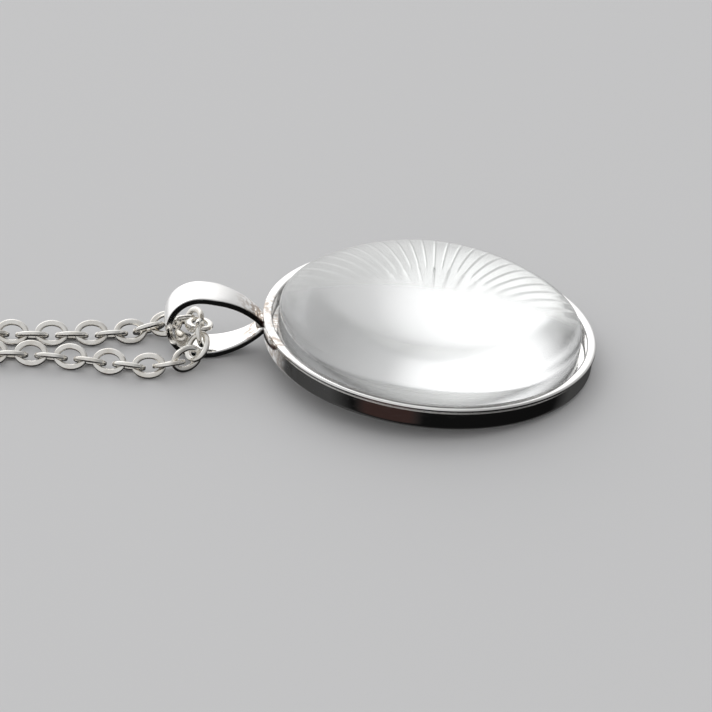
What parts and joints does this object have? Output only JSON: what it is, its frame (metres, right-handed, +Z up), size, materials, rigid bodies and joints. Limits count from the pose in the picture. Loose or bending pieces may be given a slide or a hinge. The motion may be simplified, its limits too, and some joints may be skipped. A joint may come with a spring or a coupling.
{
  "type": "domed tray pendant necklace",
  "caption": "Round silver-coloured tray pendant with a ray burst under a clear glass dome, on a fine cable chain through its teardrop bail.",
  "frame": {"origin": "on the table under the middle of the whole necklace as it lies", "axes": "+Z up, +X along the necklace from the clasp to the pendant, +Y away from the picture's viewer"},
  "size_m": [0.2037, 0.0772, 0.0085],
  "materials": {
    "plated_silver": "bright silver plate, polished",
    "chain_silver": "bright silver plate, slightly warm",
    "clear_glass": "clear polished glass"
  },
  "bodies": {
    "root": {"tray_and_bail": "plated_silver", "glass_dome": "clear_glass", "chain": "chain_silver", "end_ring": "chain_silver", "clasp_ring": "chain_silver", "clasp": "chain_silver"}
  },
  "joints": []
}
